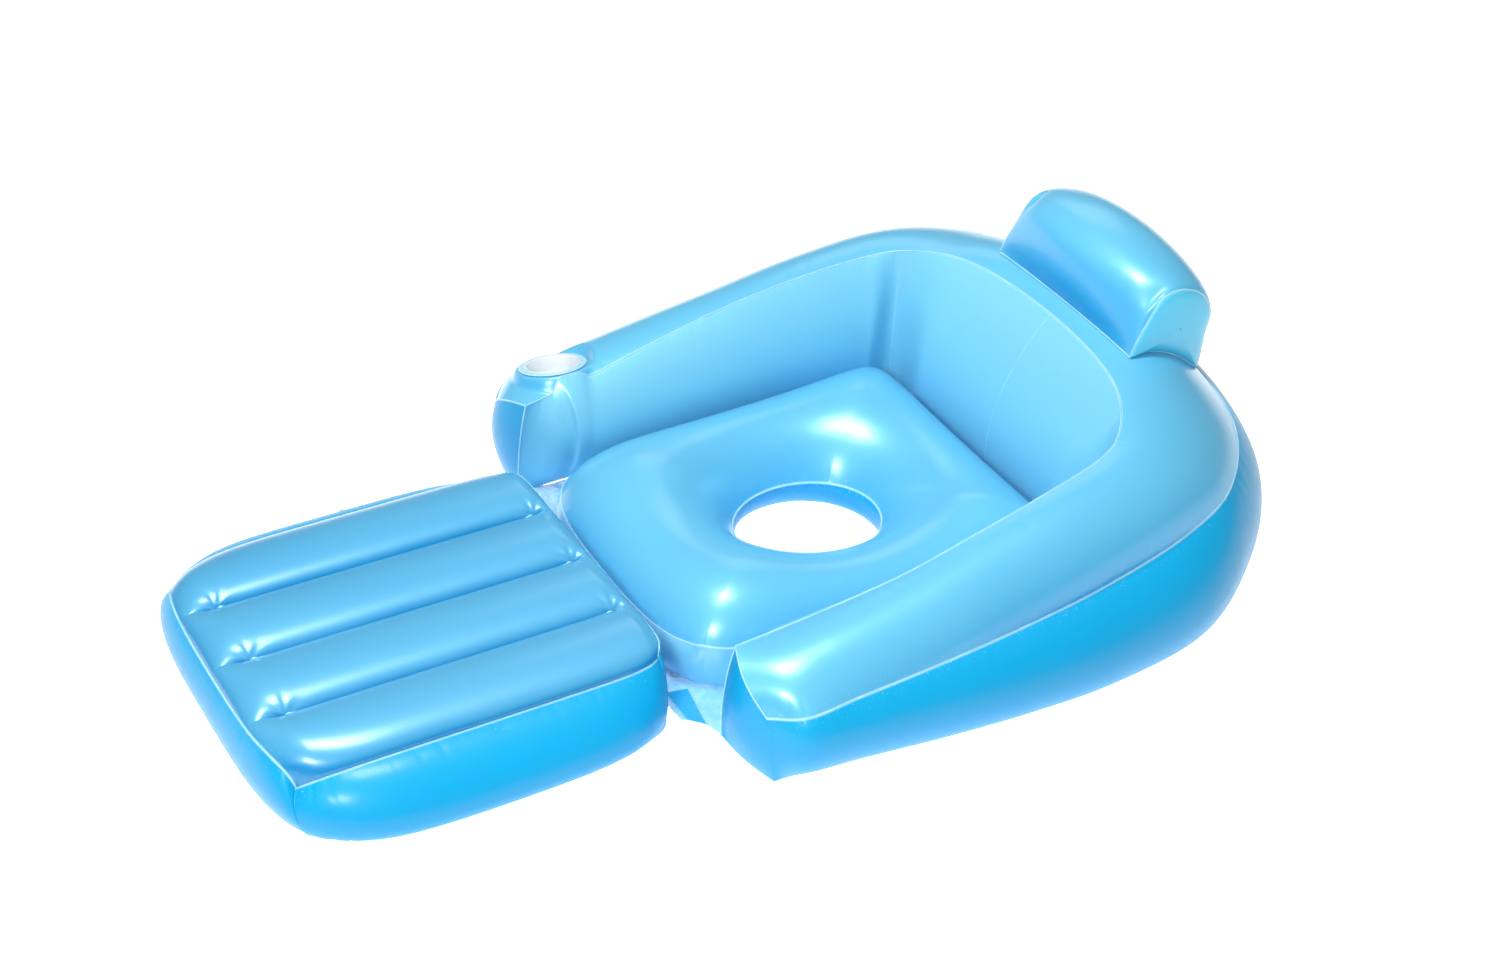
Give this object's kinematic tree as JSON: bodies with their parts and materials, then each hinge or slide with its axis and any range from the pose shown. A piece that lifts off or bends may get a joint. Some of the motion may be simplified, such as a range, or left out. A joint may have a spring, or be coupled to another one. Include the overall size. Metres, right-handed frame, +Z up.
{
  "type": "inflatable pool float",
  "caption": "Inflatable pool lounge with a U-shaped arm and back chamber, head bolster, ring seat, drink holder and a ribbed footrest that folds on a film hinge.",
  "frame": {"origin": "on the resting surface, under the middle of the bounding box", "axes": "+Z up; +Y from the footrest towards the head bolster; +X towards the sitter's left arm"},
  "size_m": [1.0222, 1.6316, 0.4445],
  "materials": {
    "panel_film": "glossy pearly vinyl film",
    "wall_film": "glossy vinyl film, deeper blue",
    "web_film": "thin pale see-through vinyl film",
    "cup_film": "smooth white moulded vinyl",
    "valve_vinyl": "clear soft moulded vinyl"
  },
  "bodies": {
    "lounge": {"body_top_panel": "panel_film", "body_outer_wall": "wall_film", "left_arm_inner_wall": "panel_film", "left_back_panel": "panel_film", "right_back_panel": "panel_film", "right_arm_inner_wall": "panel_film", "body_bottom_panel": "panel_film", "seat_top_panel": "panel_film", "seat_side_band": "panel_film", "seat_hole_band": "wall_film", "seat_bottom_panel": "panel_film", "headrest_wrap_panel": "panel_film", "headrest_base_panel": "panel_film", "headrest_left_end": "panel_film", "headrest_right_end": "panel_film", "floor_web": "web_film", "left_hinge_tab": "web_film", "right_hinge_tab": "web_film", "cup_holder_flange": "web_film", "cup_holder_wall": "cup_film", "cup_holder_floor": "cup_film", "body_valve_flange": "valve_vinyl", "seat_valve_flange": "valve_vinyl", "headrest_valve_flange": "valve_vinyl"},
    "footrest": {"footrest_top_panel": "panel_film", "footrest_side_band": "wall_film", "footrest_bottom_panel": "panel_film", "footrest_baffle_1": "panel_film", "footrest_baffle_2": "panel_film", "footrest_baffle_3": "panel_film", "footrest_hinge_strip": "web_film", "footrest_valve_flange": "valve_vinyl"},
    "body_valve_stem": {"body_valve_stem": "valve_vinyl"},
    "body_valve_plug": {"body_valve_plug": "valve_vinyl"},
    "body_valve_flap": {"body_valve_flap": "valve_vinyl"},
    "seat_valve_stem": {"seat_valve_stem": "valve_vinyl"},
    "seat_valve_plug": {"seat_valve_plug": "valve_vinyl"},
    "seat_valve_flap": {"seat_valve_flap": "valve_vinyl"},
    "footrest_valve_stem": {"footrest_valve_stem": "valve_vinyl"},
    "footrest_valve_plug": {"footrest_valve_plug": "valve_vinyl"},
    "footrest_valve_flap": {"footrest_valve_flap": "valve_vinyl"},
    "headrest_valve_stem": {"headrest_valve_stem": "valve_vinyl"},
    "headrest_valve_plug": {"headrest_valve_plug": "valve_vinyl"},
    "headrest_valve_flap": {"headrest_valve_flap": "valve_vinyl"}
  },
  "joints": [
    {"name": "footrest_fold", "type": "hinge", "parent": "lounge", "child": "footrest", "pos_m": [0, -0.227, 0], "axis": [1, 0, 0], "range_deg": [-5, 170]},
    {"name": "body_stem_pull", "type": "slide", "parent": "lounge", "child": "body_valve_stem", "axis": [-0.4104, 0.8387, 0.358], "range_m": [0, 0.014]},
    {"name": "body_plug_open", "type": "hinge", "parent": "body_valve_stem", "child": "body_valve_plug", "pos_m": [-0.28058, 0.74686, 0.16222], "axis": [0.2535, 0.4821, -0.8387], "range_deg": [0, 150]},
    {"name": "body_flap_open", "type": "hinge", "parent": "body_valve_stem", "child": "body_valve_flap", "pos_m": [-0.27627, 0.72886, 0.15317], "axis": [-0.2535, -0.4821, 0.8387], "range_deg": [0, 40], "stiffness_Nm_per_rad": 0.001},
    {"name": "seat_stem_pull", "type": "slide", "parent": "lounge", "child": "seat_valve_stem", "axis": [-0.9301, 0.0541, -0.3634], "range_m": [0, 0.014]},
    {"name": "seat_plug_open", "type": "hinge", "parent": "seat_valve_stem", "child": "seat_valve_plug", "pos_m": [0.08927, 0.12587, 0.03123], "axis": [0.079, 0.9954, -0.0541], "range_deg": [0, 150]},
    {"name": "seat_flap_open", "type": "hinge", "parent": "seat_valve_stem", "child": "seat_valve_flap", "pos_m": [0.10958, 0.12443, 0.03434], "axis": [-0.079, -0.9954, 0.0541], "range_deg": [0, 40], "stiffness_Nm_per_rad": 0.001},
    {"name": "footrest_stem_pull", "type": "slide", "parent": "footrest", "child": "footrest_valve_stem", "axis": [-0.9042, 0.0062, 0.4272], "range_m": [0, 0.014]},
    {"name": "footrest_plug_open", "type": "hinge", "parent": "footrest_valve_stem", "child": "footrest_valve_plug", "pos_m": [-0.3178, -0.48315, 0.06069], "axis": [0.0039, 1, -0.0062], "range_deg": [0, 150]},
    {"name": "footrest_flap_open", "type": "hinge", "parent": "footrest_valve_stem", "child": "footrest_valve_flap", "pos_m": [-0.30155, -0.48329, 0.04804], "axis": [-0.0039, -1, 0.0062], "range_deg": [0, 40], "stiffness_Nm_per_rad": 0.001},
    {"name": "headrest_stem_pull", "type": "slide", "parent": "lounge", "child": "headrest_valve_stem", "axis": [0, 0.9889, 0.1484], "range_m": [0, 0.014]},
    {"name": "headrest_plug_open", "type": "hinge", "parent": "headrest_valve_stem", "child": "headrest_valve_plug", "pos_m": [0.0115, 0.73109, 0.3659], "axis": [0, 0.1484, -0.9889], "range_deg": [0, 150]},
    {"name": "headrest_flap_open", "type": "hinge", "parent": "headrest_valve_stem", "child": "headrest_valve_flap", "pos_m": [0.007, 0.71121, 0.36292], "axis": [0, -0.1484, 0.9889], "range_deg": [0, 40], "stiffness_Nm_per_rad": 0.001}
  ]
}
